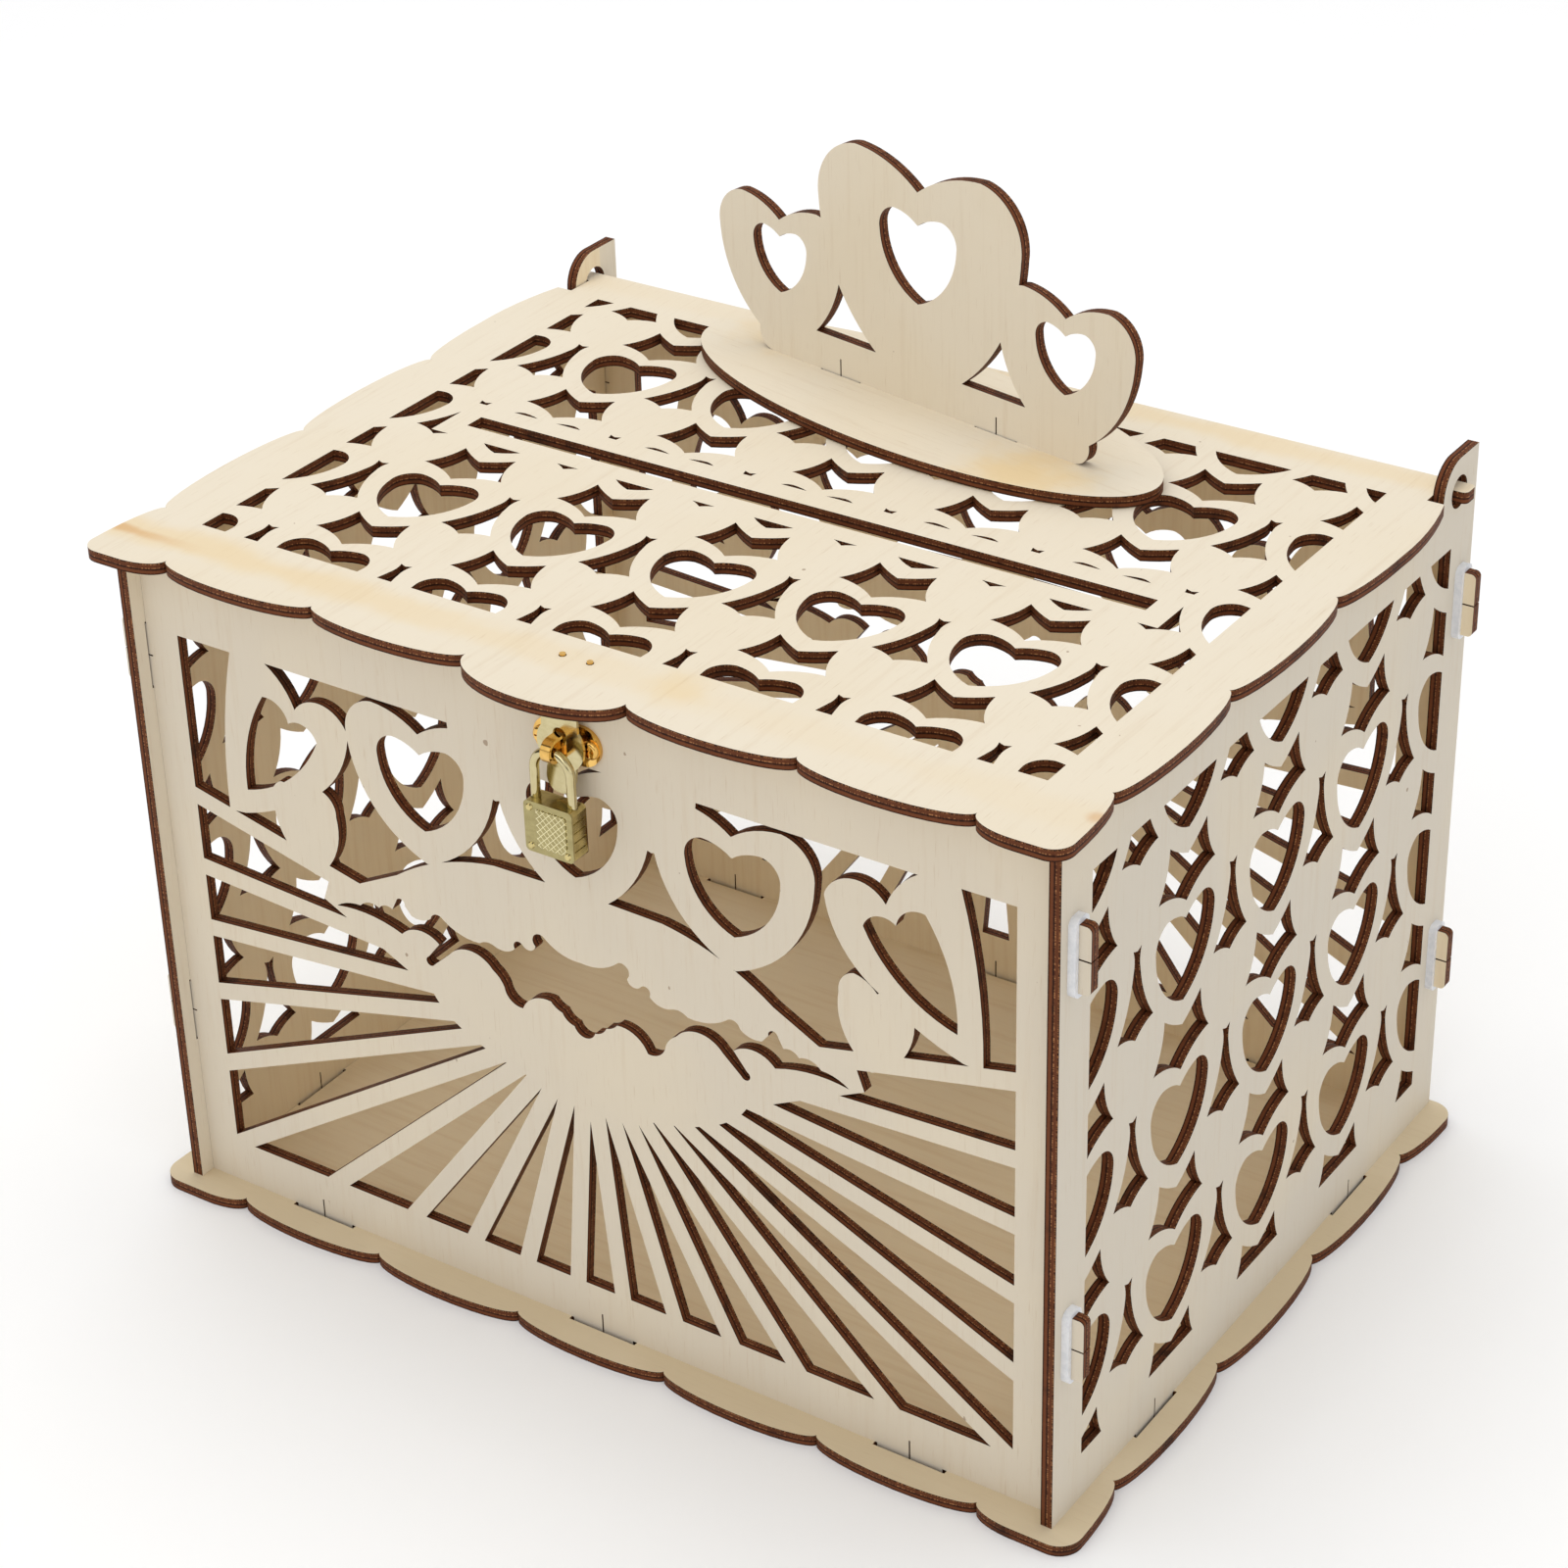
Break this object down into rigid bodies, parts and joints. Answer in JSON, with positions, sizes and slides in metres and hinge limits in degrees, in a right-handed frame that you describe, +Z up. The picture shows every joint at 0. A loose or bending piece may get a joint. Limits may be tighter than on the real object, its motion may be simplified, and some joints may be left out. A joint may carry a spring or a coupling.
{
  "type": "wedding card box",
  "caption": "Laser-cut plywood box with a sunburst front, heart lattice sides, a hinged lid with a card slot, a hasp with a small padlock, and a loose upright sign of three hearts",
  "frame": {"origin": "centre of the footprint, on the surface the base stands on", "axes": "+X is the box's right seen from the front, +Y runs from the front wall to the hinge, +Z is up"},
  "size_m": [0.2746, 0.2126, 0.2555],
  "materials": {
    "plywood": "pale birch plywood, laser-cut edges burnt dark brown",
    "silicone": "milky translucent silicone",
    "gold_plate": "thin gold-coloured plating, polished",
    "lock_brass": "pale brushed brass plating"
  },
  "bodies": {
    "box": {"base_plate": "plywood", "front_panel": "plywood", "back_panel": "plywood", "left_panel": "plywood", "right_panel": "plywood", "ring_left_front_lower": "silicone", "ring_left_front_upper": "silicone", "ring_left_back_lower": "silicone", "ring_left_back_upper": "silicone", "ring_right_front_lower": "silicone", "ring_right_front_upper": "silicone", "ring_right_back_lower": "silicone", "ring_right_back_upper": "silicone", "staple_plate": "gold_plate", "staple_loop": "gold_plate", "staple_screw_left": "gold_plate", "staple_screw_right": "gold_plate"},
    "lid": {"lid_panel": "plywood", "hasp_hinge_plate": "gold_plate", "hasp_pin": "gold_plate", "hasp_screw_left": "gold_plate", "hasp_screw_right": "gold_plate"},
    "hasp": {"hasp_leaf": "gold_plate"},
    "shackle": {"padlock_shackle": "lock_brass"},
    "padlock": {"padlock_body": "lock_brass", "padlock_front_cover": "lock_brass", "padlock_back_cover": "lock_brass", "padlock_rivets": "lock_brass"},
    "key_plug": {"padlock_plug": "lock_brass"},
    "sign": {"sign_base": "plywood", "sign_hearts": "plywood"}
  },
  "joints": [
    {"name": "lid_hinge", "type": "hinge", "parent": "box", "child": "lid", "pos_m": [0, 0.09515, 0.1869], "axis": [-1, 0, 0], "range_deg": [0, 110]},
    {"name": "hasp_swing", "type": "hinge", "parent": "lid", "child": "hasp", "pos_m": [0.0006, -0.09315, 0.1833], "axis": [-1, 0, 0], "range_deg": [0, 90.5]},
    {"name": "padlock_off", "type": "slide", "parent": "box", "child": "shackle", "axis": [0, -1, 0], "range_m": [0, 0.045]},
    {"name": "shackle_release", "type": "slide", "parent": "shackle", "child": "padlock", "axis": [0, 0, -1], "range_m": [0, 0.005]},
    {"name": "key_turn", "type": "hinge", "parent": "padlock", "child": "key_plug", "pos_m": [0.0006, -0.09615, 0.1441], "axis": [0, 0, 1], "range_deg": [0, 90]},
    {"name": "sign_lift", "type": "slide", "parent": "lid", "child": "sign", "axis": [0, 0, 1], "range_m": [0, 0.06]}
  ],
  "couplings": [
    {"joint": "hasp_swing", "follows": "padlock_off", "rad_per_m": 34.9}
  ]
}
